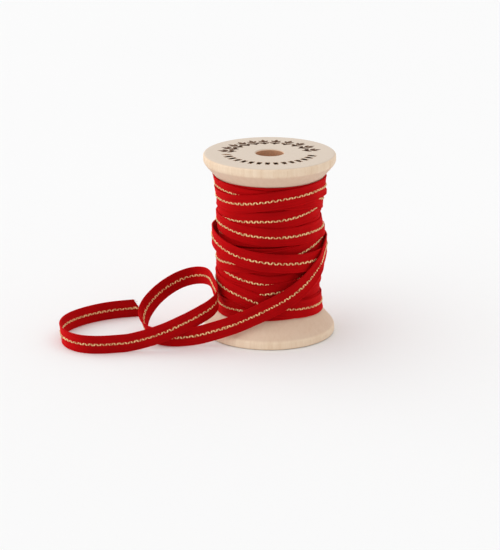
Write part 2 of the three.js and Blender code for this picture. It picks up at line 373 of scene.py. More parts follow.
def weave_group():
    """Plain weave in millimetres: X runs along the ribbon and Y across it. Its colour is darker where the
    threads lie lower, painted shade in the hollows, besides random patches of tone.
    """
    group, given, wanted = start_group(
        "plain_weave",
        [("Vector", "NodeSocketVector", None), ("Colour", "NodeSocketColor", (0.6, 0, 0, 1)),
         ("Along Pitch", "NodeSocketFloat", 0.42), ("Across Pitch", "NodeSocketFloat", 0.3)],
        [("Color", "NodeSocketColor"), ("Height", "NodeSocketFloat"), ("Roughness", "NodeSocketFloat")])
    wander = cloud(group, stretched(group, given["Vector"], (0.5, 0.5, 0.5)), 1.2, 2)
    parts = add_node(group, "SeparateXYZ")
    feed(group, parts.inputs[0], given["Vector"])
    along = calculate(group, "ADD", parts.outputs["X"], calculate(group, "MULTIPLY", wander, 0.35))
    picks = calculate(group, "SINE", calculate(group, "MULTIPLY", math.pi,
                      calculate(group, "DIVIDE", along, given["Along Pitch"])))
    ends = calculate(group, "SINE", calculate(group, "MULTIPLY", math.pi,
                     calculate(group, "DIVIDE", parts.outputs["Y"], given["Across Pitch"])))
    crossing = calculate(group, "MULTIPLY", picks, ends)
    fluff = cloud(group, given["Vector"], 4.5, 4, 0.7)
    lines = cloud(group, stretched(group, given["Vector"], (0.06, 2.6, 1)), 1.0, 3)
    patches = cloud(group, given["Vector"], 0.16, 3)
    height = calculate(group, "ADD", calculate(group, "MULTIPLY", crossing, 0.5), fluff)
    feed(group, wanted["Height"], calculate(group, "ADD", height, lines))
    # Painted shade: crossings, lines and fluff darken the colour where they lower the surface; the patches
    # are random tone
    tone = calculate(group, "MULTIPLY", rescale(group, crossing, -1, 1, 0.80, 1.06),
                     rescale(group, lines, 0.3, 0.7, 0.86, 1.08))
    tone = calculate(group, "MULTIPLY", tone, rescale(group, patches, 0.3, 0.7, 0.92, 1.06))
    tone = calculate(group, "MULTIPLY", tone, rescale(group, fluff, 0.3, 0.7, 0.90, 1.08))
    toned_with_hollow_shade = add_node(group, "CombineColor")
    for channel in toned_with_hollow_shade.inputs:
        feed(group, channel, tone)
    feed(group, wanted["Color"], blend_colours(group, 1.0, given["Colour"], toned_with_hollow_shade.outputs[0], "MULTIPLY"))
    feed(group, wanted["Roughness"], rescale(group, fluff, 0.3, 0.7, 0.72, 0.92))
    return group


def shared(name, build):
    return bpy.data.node_groups.get(name) or build()


# ------------------------------------------------------------------ materials

def start_material(name):
    material = bpy.data.materials.new(name)
    material.use_nodes = True
    tree = material.node_tree
    return material, tree, tree.nodes["Principled BSDF"]


def add_bump(tree, shader, height, distance, strength):
    bump = add_node(tree, "Bump")
    bump.inputs["Strength"].default_value = strength
    bump.inputs["Distance"].default_value = distance
    feed(tree, bump.inputs["Height"], height)
    feed(tree, shader.inputs["Normal"], bump.outputs["Normal"])


def wood_material(colours):
    material, tree, shader = start_material("turned_pale_wood")
    place = add_node(tree, "TexCoord").outputs["Object"]
    grain = use_group(tree, shared("wood_grain", grain_group), Vector=place, Pale=colours.wood,
                      Dark=colours.wood_dark, Strength=1.0)
    parts = add_node(tree, "SeparateXYZ")
    feed(tree, parts.inputs[0], place)
    square = calculate(tree, "ADD", calculate(tree, "MULTIPLY", parts.outputs["X"], parts.outputs["X"]),
                       calculate(tree, "MULTIPLY", parts.outputs["Y"], parts.outputs["Y"]))
    radius = calculate(tree, "SQRT", square)
    from_middle = calculate(tree, "ABSOLUTE", calculate(tree, "SUBTRACT", parts.outputs["Z"],
                                                        SPOOL_HEIGHT * MM / 2))
    on_end = rescale(tree, from_middle, (SPOOL_HEIGHT / 2 - 0.3) * MM, (SPOOL_HEIGHT / 2 - 0.05) * MM)
    # Painted shade: the cone under each rim is darkened and made pinker, partly for its coarser grain
    shaded_cone_share = rescale(tree, radius, (FLANGE_RADIUS - 0.15) * MM, (FLANGE_RADIUS - 0.5) * MM, 0.0, 0.55)
    rim_and_shaded_cone = blend_colours(tree, shaded_cone_share, grain["Color"], CONE_SHADE_AND_GRAIN)
    sides_and_ends = blend_colours(tree, calculate(tree, "MULTIPLY", on_end, 0.75), rim_and_shaded_cone,
                                   END_GRAIN)
    # Painted shade: the bore's wall is coloured darker and browner, as if in the hole's shadow
    bore_shade_share = rescale(tree, radius, (BORE_RADIUS + 0.15) * MM, (BORE_RADIUS - 0.05) * MM, 0.0, 0.85)
    feed(tree, shader.inputs["Base Color"], blend_colours(tree, bore_shade_share, sides_and_ends, BORE_PAINTED_SHADE))
    feed(tree, shader.inputs["Roughness"], grain["Roughness"])
    tool_rings = calculate(tree, "SINE", calculate(tree, "MULTIPLY", radius, 2 * math.pi / (0.55 * MM)))
    faint_rings = calculate(tree, "MULTIPLY", tool_rings, 0.12)
    add_bump(tree, shader, calculate(tree, "ADD", grain["Height"], faint_rings), 0.05 * MM, 0.35)
    shader.inputs["Specular IOR Level"].default_value = 0.3
    return material


def burnt_material(name, colour, pale, depth):
    material, tree, shader = start_material(name)
    place = add_node(tree, "TexCoord").outputs["Object"]
    scorch = cloud(tree, place, 1400, 3, 0.6)
    share = rescale(tree, scorch, 0.45, 0.75, 0.0, depth)
    feed(tree, shader.inputs["Base Color"], blend_colours(tree, share, colour, pale))
    shader.inputs["Roughness"].default_value = 0.85
    shader.inputs["Specular IOR Level"].default_value = 0.15
    add_bump(tree, shader, scorch, 0.04 * MM, 0.5)
    return material


def finish_cloth(tree, shader, vector, colour):
    weave = use_group(tree, shared("plain_weave", weave_group), Vector=vector, Colour=colour)
    # Painted sheen: the base colour is brightened where the cloth turns away from the view
    facing = add_node(tree, "LayerWeight").outputs["Facing"]
    painted_sheen = blend_colours(tree, 1.0, weave["Color"], PAINTED_SHEEN_GAIN, "MULTIPLY")
    feed(tree, shader.inputs["Base Color"], blend_colours(tree, facing, weave["Color"], painted_sheen))
    feed(tree, shader.inputs["Roughness"], weave["Roughness"])
    add_bump(tree, shader, weave["Height"], 0.07 * MM, 0.55)
    shader.inputs["Specular IOR Level"].default_value = 0.05
    shader.inputs["Sheen Weight"].default_value = 0.05
    shader.inputs["Sheen Roughness"].default_value = 0.4
    shader.inputs["Sheen Tint"].default_value = SHEEN_TINT


def ribbon_material(colours):
    material, tree, shader = start_material("red_woven_ribbon")
    finish_cloth(tree, shader, add_node(tree, "UVMap", uv_map="ribbon").outputs["UV"], colours.ribbon)
    return material


def sleeve_material(colours):
    """The same cloth on the plain sleeves, which have no map: angle and height take its place."""
    material, tree, shader = start_material("red_woven_layers")
    parts = add_node(tree, "SeparateXYZ")
    feed(tree, parts.inputs[0], add_node(tree, "TexCoord").outputs["Object"])
    angle = calculate(tree, "ARCTAN2", parts.outputs["X"], parts.outputs["Y"])
    place = add_node(tree, "CombineXYZ")
    feed(tree, place.inputs["X"], calculate(tree, "MULTIPLY", angle, MIDDLE_RADIUS))
    feed(tree, place.inputs["Y"], calculate(tree, "MULTIPLY", parts.outputs["Z"], 1 / MM))
    finish_cloth(tree, shader, place.outputs[0], colours.ribbon)
    return material


def gold_material(colours):
    material, tree, shader = start_material("gold_metallic_yarn")
    place = add_node(tree, "UVMap", uv_map="ribbon").outputs["UV"]
    # Painted shade: dark brown patches along the yarn stand in for the shadows between its beads
    bead_gap_shade = cloud(tree, place, 1.5, 3, 0.7)
    fine = cloud(tree, stretched(tree, place, (6.0, 2.0, 1.0)), 1.6, 2)
    share = rescale(tree, bead_gap_shade, 0.46, 0.60, 0.0, 0.9)
    feed(tree, shader.inputs["Base Color"], blend_colours(tree, share, colours.gold, GOLD_PAINTED_SHADE))
    feed(tree, shader.inputs["Metallic"], rescale(tree, fine, 0.3, 0.7, 0.25, 0.65))
    feed(tree, shader.inputs["Roughness"], rescale(tree, fine, 0.3, 0.7, 0.24, 0.46))
    add_bump(tree, shader, fine, 0.05 * MM, 0.6)
    return material


def tape_material():
    material, tree, shader = start_material("paper_tape")
    place = add_node(tree, "TexCoord").outputs["Object"]
    fibres = cloud(tree, stretched(tree, place, (1, 1, 0.3)), 2500, 4, 0.65)
    share = rescale(tree, fibres, 0.3, 0.7)
    feed(tree, shader.inputs["Base Color"], blend_colours(tree, share, PAPER, PAPER_DARK))
    feed(tree, shader.inputs["Roughness"], rescale(tree, fibres, 0.3, 0.7, 0.5, 0.7))
    add_bump(tree, shader, fibres, 0.02 * MM, 0.4)
    return material


def floor_material(colours):
    material, tree, shader = start_material("pale_floor")
    place = add_node(tree, "TexCoord").outputs["Object"]
    tone = rescale(tree, cloud(tree, place, 2.0, 2), 0.3, 0.7)
    slightly_dark = [0.985 * channel for channel in colours.floor[:3]] + [1]
    feed(tree, shader.inputs["Base Color"], blend_colours(tree, tone, colours.floor, slightly_dark))
    shader.inputs["Roughness"].default_value = 0.9
    shader.inputs["Specular IOR Level"].default_value = 0.0
    return material


def material_for(name, build, *settings):
    return bpy.data.materials.get(name) or build(*settings)


# ------------------------------------------------------------------ modelling helpers

def start_editing(piece):
    bpy.ops.object.select_all(action="DESELECT")
    piece.select_set(True)
    bpy.context.view_layer.objects.active = piece
    bpy.ops.object.mode_set(mode="EDIT")
    bpy.ops.mesh.select_mode(type="VERT")


def stop_editing():
    bpy.ops.object.mode_set(mode="OBJECT")


def place_piece(piece, name, material, body, nodes=()):
    """Puts a finished piece at the origin, gives it its finish and ties it to the frame."""
    piece.name = name
    piece.data.name = name
    piece.data.transform(piece.matrix_world)
    piece.matrix_world = Matrix.Identity(4)
    piece.data.materials.clear()
    piece.data.materials.append(material)
    if nodes:
        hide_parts(*nodes)
    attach(piece, body)
    return piece


def smooth(values, rows):
    """Evens out rows of values along the ribbon with a bell-shaped weight."""
    reach = int(3 * rows)
    weights = np.exp(-0.5 * (np.arange(-reach, reach + 1) / rows) ** 2)
    weights /= weights.sum()
    padded = np.concatenate([np.repeat(values[:1], reach, 0), values, np.repeat(values[-1:], reach, 0)])
    return sum(weight * padded[i:i + len(values)] for i, weight in enumerate(weights))


def half_thickness(share):
    """Half the ribbon's thickness at a share of half its width: ribs at both edges, rounded off."""
    distance = np.abs(share)
    rib = np.clip((distance - SELVEDGE_START) / (1 - SELVEDGE_START), 0, 1)
    body = THICKNESS / 2 - 0.03 * np.exp(-(distance / 0.1) ** 2)
    return body + SELVEDGE_RISE * np.sin(math.pi * rib) - (THICKNESS / 2 - 0.03) * rib ** 8


def mesh_object(name, points, faces, places):
    """A mesh from points in millimetres, with places as (along, across) in its map named ribbon."""
    mesh = bpy.data.meshes.new(name)
    mesh.from_pydata((points * MM).tolist(), [], faces)
    layer = mesh.uv_layers.new(name="ribbon")
    corners = np.zeros(len(mesh.loops), np.int32)
    mesh.loops.foreach_get("vertex_index", corners)
    layer.data.foreach_set("uv", places[corners].astype(np.float32).ravel())
    mesh.validate()
    made = bpy.data.objects.new(name, mesh)
    bpy.context.scene.collection.objects.link(made)
    for polygon in mesh.polygons:
        polygon.use_smooth = True
    return made


def ring_faces(rings, sides):
    """Quads between closed rings of points, going round each ring and on to the next."""
    faces = []
    for ring in range(rings - 1):
        start = ring * sides
        for side in range(sides):
            following = (side + 1) % sides
            faces.append((start + side, start + sides + side, start + sides + following, start + following))
    return faces


def ribbon_object(name, outer, inner, lengths):
    """A closed band from the rows of its outer and inner faces, from the lower edge to the upper."""
    rows, points_across = outer.shape[:2]
    sides = 2 * points_across
    ring = np.concatenate([outer, inner[:, ::-1]], 1)
    across = np.concatenate([SECTION, SECTION[::-1]]) * HALF_WIDTH
    places = np.stack([np.repeat(lengths, sides), np.tile(across, rows)], 1)
    faces = ring_faces(rows, sides)
    last = (rows - 1) * sides
    for point in range(points_across - 1):
        opposite = sides - 1 - point
        faces.append((point, point + 1, opposite - 1, opposite))
        faces.append((last + point + 1, last + point, last + opposite, last + opposite - 1))
    return mesh_object(name, ring.reshape(-1, 3), faces, places)


def tube_points(centres, outward, radii, sides):
    along = np.gradient(centres, axis=0)
    along /= np.linalg.norm(along, axis=1)[:, None]
    sideways = np.cross(along, outward)
    sideways /= np.linalg.norm(sideways, axis=1)[:, None]
    upright = np.cross(sideways, along)
    turns = 2 * math.pi * np.arange(sides) / sides
    spread = (np.cos(turns)[None, :, None] * upright[:, None]
              + np.sin(turns)[None, :, None] * sideways[:, None])
    return centres[:, None] + radii[:, None, None] * spread


def tube_object(name, centres, outward, radii, lengths, sides=6):
    rings = tube_points(centres, outward, radii, sides)
    faces = ring_faces(len(centres), sides)
    last = (len(centres) - 1) * sides
    faces.append(tuple(range(sides)))
    faces.append(tuple(last + side for side in reversed(range(sides))))
    places = np.stack([np.repeat(lengths, sides), np.tile(np.arange(sides) * 0.3, len(centres))], 1)
    return mesh_object(name, rings.reshape(-1, 3), faces, places)


def on_face(face, row, column):
    """Points of a face at rows and columns that may lie between its own."""
    row_low = np.clip(row.astype(int), 0, face.shape[0] - 2)
    column_low = np.clip(column.astype(int), 0, face.shape[1] - 2)
    row_share = (row - row_low)[:, None]
    column_share = (column - column_low)[:, None]
    row_high = row_low + 1
    column_high = column_low + 1
    near = face[row_low, column_low] * (1 - column_share) + face[row_low, column_high] * column_share
    far = face[row_high, column_low] * (1 - column_share) + face[row_high, column_high] * column_share
    return near * (1 - row_share) + far * row_share


def stitch_object(name, face, normals, lengths, sizes, draw, phase=0.0):
    """The gold yarn along the middle of a ribbon's face: a zigzag that dips into the cloth at its turns."""
    pitch = sizes.pitch / MM
    count = int((lengths[-1] - lengths[0]) / pitch * STITCH_STEPS)
    distance = np.linspace(lengths[0] + STITCH_END_GAP, lengths[-1] - STITCH_END_GAP, count)
    wander = smooth(draw.normal(0, 1.0, count), 9)
    turn = 2 * math.pi * distance / pitch + phase + 1.2 * wander
    swing = sizes.swing / MM * (1 + 0.5 * smooth(draw.normal(0, 1.0, count), 4))
    offset = swing * np.sin(turn) + 0.06 * smooth(draw.normal(0, 1.0, count), 12)
    row = np.interp(distance, lengths, np.arange(len(lengths)))
    column = np.interp(offset / HALF_WIDTH, SECTION, np.arange(len(SECTION)))
    outward = normals[np.clip(np.rint(row).astype(int), 0, len(normals) - 1)]
    crest = np.abs(np.cos(turn))
    yarn = sizes.yarn_radius / MM
    slack = smooth(draw.normal(0, 1.0, count), 5)
    lift = np.clip(yarn * (-YARN_DIP + YARN_RISE * crest + 0.6 * slack), -THICKNESS / 2, YARN_PROUD * yarn)
    radii = yarn * (0.4 + 0.75 * crest + 0.25 * smooth(draw.normal(0, 1.0, count), 3))
    centres = on_face(face, row, column) + outward * lift[:, None]
    return tube_object(name, centres, outward, radii, distance)


# ------------------------------------------------------------------ the winding

def rest_line(places, heights):
    """The taut line over a row of heights, as a stiff ribbon bridges what lies under it."""
    kept = []
    for place, height in zip(places, heights):
        while len(kept) > 1:
            (first_place, first_height), (second_place, second_height) = kept[-2:]
            turn = (second_place - first_place) * (height - first_height)
            if turn < (second_height - first_height) * (place - first_place):
                break
            kept.pop()
        kept.append((place, height))
    kept_places, kept_heights = zip(*kept)
    return np.interp(places, kept_places, kept_heights)


def widest(values, reach):
    """The largest value within reach rows of each row."""
    padded = np.concatenate([np.repeat(values[:1], reach, 0), values, np.repeat(values[-1:], reach, 0)])
    return np.max([padded[i:i + len(values)] for i in range(2 * reach + 1)], axis=0)


def lying_thickness():
    """How far the next ribbon is held off this one, across it."""
    stitch = STITCH_LIFT * (np.abs(LAYING_OFFSETS) < STITCH_ZONE)
    return THICKNESS + stitch


class Strip:
    """One length of wound ribbon, a row for each column round the spool."""

    def __init__(self, heights, first_column=0):
        self.heights = heights
        self.first_column = first_column
        slope = np.gradient(heights) / (math.radians(COLUMN_ANGLE) * MIDDLE_RADIUS)
        self.stretch = np.sqrt(1 + slope ** 2)
        self.raw = None
        self.inner = None
        self.before = None
        self.after = None

    def settle(self, field):
        """Finds where the ribbon's inner face rests on what lies under it."""
        raw = np.empty((len(self.heights), len(LAYING_OFFSETS)))
        for row, height in enumerate(self.heights):
            column = field[:, (self.first_column + row) % COLUMNS]
            line = np.interp(height + LAYING_OFFSETS * self.stretch[row], PACK_HEIGHTS, column)
            raw[row] = STIFFNESS * rest_line(LAYING_OFFSETS, line) + (1 - STIFFNESS) * line
        self.raw = raw
        reach = 3 * EASE_ROWS
        start = raw[:1].repeat(reach, 0)
        end = raw[-1:].repeat(reach, 0)
        if self.before is not None and self.before.raw is not None:
            start = self.before.raw[-reach:]
        if self.after is not None and self.after.raw is not None:
            end = self.after.raw[:reach]
        eased = smooth(widest(np.concatenate([start, raw, end]), EASE_ROWS), EASE_ROWS / 2)
        self.inner = np.maximum(raw, eased[reach:-reach])

    def cover(self, field):
        """Raises the field to the ribbon's outer face."""
        for row, height in enumerate(self.heights):
            column = field[:, (self.first_column + row) % COLUMNS]
            offset = (PACK_HEIGHTS - height) / self.stretch[row]
            inside = np.abs(offset) <= HALF_WIDTH
            outer = np.interp(offset[inside], LAYING_OFFSETS, self.inner[row] + lying_thickness())
            column[inside] = np.maximum(column[inside], outer)

    def rows(self):
        """Angles in degrees, heights, stretches and inner faces, with the row where the next strip starts."""
        count = len(self.heights)
        angles = TURN_START - COLUMN_ANGLE * (self.first_column + np.arange(count))
        joined = [angles, self.heights, self.stretch, self.inner]
        if self.after is not None:
            follower = self.after
            closing = [angles[-1:] - COLUMN_ANGLE, follower.heights[:1], follower.stretch[:1],
                       follower.inner[:1]]
            joined = [np.concatenate(pair) for pair in zip(joined, closing)]
        return joined


def course_heights(stops, row_count, first_angle=TURN_START, period=None):
    """Heights of a ribbon's middle line at each column, from stops at falling angles."""
    angles = -np.array([stop[0] for stop in stops], float)
    heights = np.array([stop[1] for stop in stops], float)
    pad = 4 * COURSE_EASE_ROWS
    wanted = -(first_angle - COLUMN_ANGLE * np.arange(-pad, row_count + pad))
    line = np.interp(wanted, angles, heights, period=period)
    return smooth(line, COURSE_EASE_ROWS)[pad:-pad]


def chain_strips(turns):
    """The strips of turns that run on into each other, on one smooth course."""
    stops = [(angle - 360 * index, height)
             for index, turn in enumerate(turns)
             for angle, height in COURSES[turn]]
    closed = turns == CLOSED_CHAIN
    extra_rows = 0 if closed else int((-270 - COURSES[turns[-1]][-1][0]) / COLUMN_ANGLE)
    period = 360 * len(turns) if closed else None
    heights = course_heights(stops, COLUMNS * len(turns) + extra_rows, period=period)
    strips = {}
    for index, turn in enumerate(turns):
        last_row = (index + 1) * COLUMNS + (extra_rows if turn == turns[-1] else 0)
        strips[turn] = Strip(heights[index * COLUMNS:last_row])
    for first, second in zip(turns, turns[1:] + (turns[:1] if closed else ())):
        strips[first].after = strips[second]
        strips[second].before = strips[first]
    return strips


def cone_field():
    """What the innermost modelled winding lies on: a sleeve between the two cones."""
    from_end = np.minimum(PACK_HEIGHTS, SPOOL_HEIGHT - PACK_HEIGHTS)
    cone = CONE_START_RADIUS - (from_end - CONE_START_HEIGHT) / CONE_RISE + 0.05
    return np.repeat(np.maximum(UNDER_RADIUS, cone)[:, None], COLUMNS, 1)


def wind_ribbon():
    """Lays every strip in order and returns the lowest one, the visible ones and the finished field."""
    bare = cone_field()
    under_rows = int((TURN_START - UNDER_COURSE[-1][0]) / COLUMN_ANGLE)
    under = Strip(course_heights(UNDER_COURSE, under_rows))
    under.settle(bare)
    under.cover(bare)
    strips = {}
    for turns in CHAINS:
        strips.update(chain_strips(turns))
    for sweep in range(SWEEPS):
        field = bare.copy()
        for turn in LAYING_ORDER:
            strips[turn].settle(field)
            strips[turn].cover(field)
    return under, strips, field


def wound_faces(angles, heights, stretch, inner, draw):
    """Outer and inner faces of a wound strip, its outward directions and its lengths, in millimetres."""
    lying = np.array([np.interp(SECTION * HALF_WIDTH, LAYING_OFFSETS, line) for line in inner])
    flutter = smooth(draw.normal(0, 1.0, (len(angles), 2)), 7)
    edges = np.stack([np.interp(SECTION, [-1, 1], pair) for pair in flutter]) * 0.10
    middle = lying + THICKNESS / 2 + np.clip(edges, 0, 0.2) * np.abs(SECTION) ** 3
    turned = np.radians(angles)
    outward = np.stack([np.sin(turned), -np.cos(turned), 0 * turned], 1)
    upward = heights[:, None] + SECTION * HALF_WIDTH * stretch[:, None]

    def face(radius):
        points = radius[..., None] * outward[:, None]
        points[..., 2] = upward
        return points

    lengths = np.radians(TURN_START - angles) * MIDDLE_RADIUS
    thick = half_thickness(SECTION)
    return face(middle + thick), face(middle - thick), outward, lengths


def wound_pieces(name, body, rows, finishes, sizes, draw, nodes):
    """The ribbon of one strip and the gold yarn stitched along it."""
    outer, inner, outward, lengths = wound_faces(*rows, draw)
    ribbon = ribbon_object(name, outer, inner, lengths)
    stitch = stitch_object(name + "_stitch", outer, outward, lengths, sizes, draw)
    place_piece(ribbon, name, finishes[0], body, nodes[:1])
    place_piece(stitch, name + "_stitch", finishes[1], body, nodes[1:])


# ------------------------------------------------------------------ the free end

def smooth_route(points, step):
    """Points a step apart on the smooth curve through the given ones, with the route point each is near."""
    padded = np.concatenate([[2 * points[0] - points[1]], points, [2 * points[-1] - points[-2]]])
    shares = np.linspace(0, 1, 24, endpoint=False)[:, None]
    curve, nearness = [], []
    for index in range(len(points) - 1):
        before, start, end, after = padded[index:index + 4]
        first = 0.5 * (end - before)
        last = 0.5 * (after - start)
        curve.append(start * (2 * shares ** 3 - 3 * shares ** 2 + 1)
                     + first * (shares ** 3 - 2 * shares ** 2 + shares)
                     + end * (3 * shares ** 2 - 2 * shares ** 3)
                     + last * (shares ** 3 - shares ** 2))
        nearness.append(index + shares[:, 0])
    curve = np.concatenate(curve + [points[-1:]])
    nearness = np.concatenate(nearness + [[len(points) - 1]])
    lengths = np.concatenate([[0], np.cumsum(np.linalg.norm(np.diff(curve, axis=0), axis=1))])
    wanted = np.linspace(0, lengths[-1], int(lengths[-1] / step) + 1)
    even = np.stack([np.interp(wanted, lengths, curve[:, axis]) for axis in range(3)], 1)
    return even, np.interp(wanted, lengths, nearness), wanted


def free_end_faces():
    """Both faces of the free end, standing on edge, with its outward directions and lengths."""
    route = np.array(FREE_END_ROUTE) / MM
    centres, nearness, lengths = smooth_route(route, FREE_END_STEP)
    along = smooth(np.gradient(centres, axis=0), 2)
    along /= np.linalg.norm(along, axis=1)[:, None]
    outward = np.cross([0, 0, 1], along)
    outward /= np.linalg.norm(outward, axis=1)[:, None]
    across = np.cross(along, outward)
    points, leans = zip(*FREE_END_LEANS)
    lean = np.radians(smooth(np.interp(nearness, points, leans), 6))[:, None]
    leaned = across * np.cos(lean) + outward * np.sin(lean)
    outward = outward * np.cos(lean) - across * np.sin(lean)
    reach = np.clip(1 - (lengths[-1] - lengths) / END_CUT_REACH, 0, 1)
    shift = -END_CUT_SLANT * reach[:, None] * SECTION[None]
    middle = centres[:, None] + leaned[:, None] * (SECTION * HALF_WIDTH)[None, :, None]
    middle = middle + along[:, None] * shift[..., None]
    thick = half_thickness(SECTION)[None, :, None] * outward[:, None]
    return middle + thick, middle - thick, outward, lengths


def frayed_threads(outer, inner, draw):
    """Short loose threads at the cut end."""
    ends = (outer[-1] + inner[-1]) / 2
    along = ends - (outer[-4] + inner[-4]) / 2
    along /= np.linalg.norm(along, axis=1)[:, None]
    points, faces = [], []
    for thread in range(THREADS):
        place = draw.uniform(0.3, len(SECTION) - 1.3)
        index = int(place)
        root = ends[index] + (ends[index + 1] - ends[index]) * (place - index)
        reach = draw.uniform(0.25, 0.95)
        drift = draw.normal(0, 0.22, 3)
        share = np.linspace(-0.5, 1, THREAD_POINTS)
        centres = root + reach * share[:, None] * along[index] + drift * (np.clip(share, 0, 1) ** 2)[:, None]
        radii = THREAD_RADIUS * (1 - 0.5 * np.clip(share, 0, 1))
        sideways = np.array([[0.3, 0.8, 0.5]]).repeat(THREAD_POINTS, 0)
        rings = tube_points(centres, sideways, radii, THREAD_SIDES).reshape(-1, 3)
        start = sum(len(part) for part in points)
        last = start + len(rings) - 1
        sides = ring_faces(THREAD_POINTS, THREAD_SIDES)
        faces += [tuple(start + corner for corner in face) for face in sides]
        faces.append(tuple(start + side for side in range(THREAD_SIDES)))
        faces.append(tuple(last - side for side in range(THREAD_SIDES)))
        points.append(rings)
    points = np.concatenate(points)
    return mesh_object("frayed_cut_end", points, faces, points[:, :2])


# ------------------------------------------------------------------ the spool

def spool_profile(sizes):
    """The spool's section in metres as (radius, height), from the lower mouth of the bore to the upper."""
    rounding = sizes.face_rounding
    flange = FLANGE_RADIUS * MM
    lower = [(sizes.bore_radius, sizes.bore_chamfer), (sizes.bore_radius + sizes.bore_chamfer, 0)]
    lower += [(radius * MM, 0) for radius in (8, 12, 16, 19)]
    for step in range(9):
        angle = math.pi / 2 * step / 8
        lower.append((flange - rounding + rounding * math.sin(angle), rounding - rounding * math.cos(angle)))
    corner = ((CONE_START_HEIGHT - (FLANGE_RADIUS - CONE_START_RADIUS) * CONE_RISE) * MM)
    for step in range(9):
        share = step / 8
        weights = ((1 - share) ** 2, 2 * share * (1 - share), share ** 2)
        lower.append((weights[0] * flange + weights[1] * flange + weights[2] * CONE_START_RADIUS * MM,
                      weights[0] * RIM_TOP * MM + weights[1] * corner + weights[2] * CONE_START_HEIGHT * MM))
    for step in range(1, 7):
        radius = CONE_START_RADIUS * MM + (sizes.barrel_radius - CONE_START_RADIUS * MM) * step / 6
        lower.append((radius, (CONE_START_HEIGHT + (CONE_START_RADIUS - radius / MM) * CONE_RISE) * MM))
    upper = [(radius, SPOOL_HEIGHT * MM - height) for radius, height in reversed(lower)]
    return lower + upper


def turn_on_lathe(profile, sides=SPOOL_SIDES):
    """Drags a ring of points along a profile and closes the bore between its two ends."""
    radius, height = profile[0]
    bpy.ops.object.select_all(action="DESELECT")
    bpy.ops.mesh.primitive_circle_add(vertices=sides, radius=radius, location=(0, 0, height))
    piece = bpy.context.object
    piece.data.transform(piece.matrix_world)
    piece.matrix_world = Matrix.Identity(4)
    start_editing(piece)
    bpy.ops.mesh.select_all(action="SELECT")
    for (old_radius, old_height), (new_radius, new_height) in zip(profile, profile[1:]):
        bpy.ops.mesh.extrude_region_move(TRANSFORM_OT_translate={"value": (0, 0, new_height - old_height)})
        ratio = new_radius / old_radius
        bpy.ops.transform.resize(value=(ratio, ratio, 1), center_override=(0, 0, new_height))
    bpy.ops.mesh.select_all(action="DESELECT")
    bpy.ops.mesh.select_non_manifold()
    bpy.ops.mesh.bridge_edge_loops()
    bpy.ops.mesh.select_all(action="SELECT")
    bpy.ops.mesh.remove_doubles(threshold=0.001 * MM)
    bpy.ops.mesh.normals_make_consistent(inside=False)
    stop_editing()
    bpy.ops.object.shade_smooth_by_angle(angle=math.radians(32))
    return piece


def leaf_object(length, width, height):
    """A slim pointed leaf that lies on the end face, its stalk at the origin and its tip along +Y."""
    bpy.ops.object.select_all(action="DESELECT")
    bpy.ops.mesh.primitive_circle_add(vertices=12, radius=1, fill_type="NGON")
    leaf = bpy.context.object
    start_editing(leaf)
    bpy.ops.mesh.select_all(action="SELECT")
    bpy.ops.mesh.extrude_region_move(TRANSFORM_OT_translate={"value": (0, 0, height)})
    bpy.ops.mesh.select_all(action="SELECT")
    bpy.ops.mesh.normals_make_consistent(inside=False)
    stop_editing()
    for vertex in leaf.data.vertices:
        along = vertex.co.y
        vertex.co.x *= width / 2 * (1 - 0.55 * abs(along) ** 1.5) * (1 - 0.25 * along)
        vertex.co.y = (along + 1) / 2 * length
    return leaf


def copy_of(pattern, matrix):
    made = pattern.copy()
    made.data = pattern.data.copy()
    made.data.transform(matrix)
    bpy.context.scene.collection.objects.link(made)
    return made


def join_pieces(pieces):
    bpy.ops.object.select_all(action="DESELECT")
    for piece in pieces:
        piece.select_set(True)
    bpy.context.view_layer.objects.active = pieces[0]
    bpy.ops.object.join()
    return bpy.context.object


def on_end_face(radius, angle, turn):
    """Places a pattern on the upper end face, turned from the outward direction by an angle."""
    sink = Matrix.Translation((0, 0, (SPOOL_HEIGHT - MARK_SINK) * MM))
    return (sink @ Matrix.Rotation(math.radians(angle - 90), 4, "Z") @ Matrix.Translation((0, radius * MM, 0))
            @ Matrix.Rotation(math.radians(turn), 4, "Z"))


def burnt_leaves(material):
    """Two runs of leaf sprigs on the far side of the end face."""
    leaf = leaf_object(LEAF_SIZE[0] * MM, LEAF_SIZE[1] * MM, MARK_HEIGHT * MM)
    leaves = []
    for first, last, count in SPRIG_RUNS:
        for index in range(count):
            angle = first + (last - first) * index / (count - 1)
            for step, turn in SPRIG_LEAVES:
                leaves.append(copy_of(leaf, on_end_face(LEAF_RADIUS + step, angle, turn)))
    bpy.data.objects.remove(leaf)
    return place_piece(join_pieces(leaves), "burnt_leaves", material, "root")


def burnt_beads(material):
    """A run of small slanted beads on the near side of the end face."""
    bead = leaf_object(BEAD_SIZE[0] * MM, BEAD_SIZE[1] * MM, MARK_HEIGHT * MM)
    beads = []
    first, last, count = BEAD_RUN
    for index in range(count):
        angle = first + (last - first) * index / (count - 1)
        slant = BEAD_SLANT if index % 2 else -BEAD_SLANT
        beads.append(copy_of(bead, on_end_face(BEAD_RADIUS, angle, slant)))
    bpy.data.objects.remove(bead)
    return place_piece(join_pieces(beads), "burnt_beads", material, "root")


# ------------------------------------------------------------------ operators

def settings():
    return bpy.context.scene.ribbon_spool


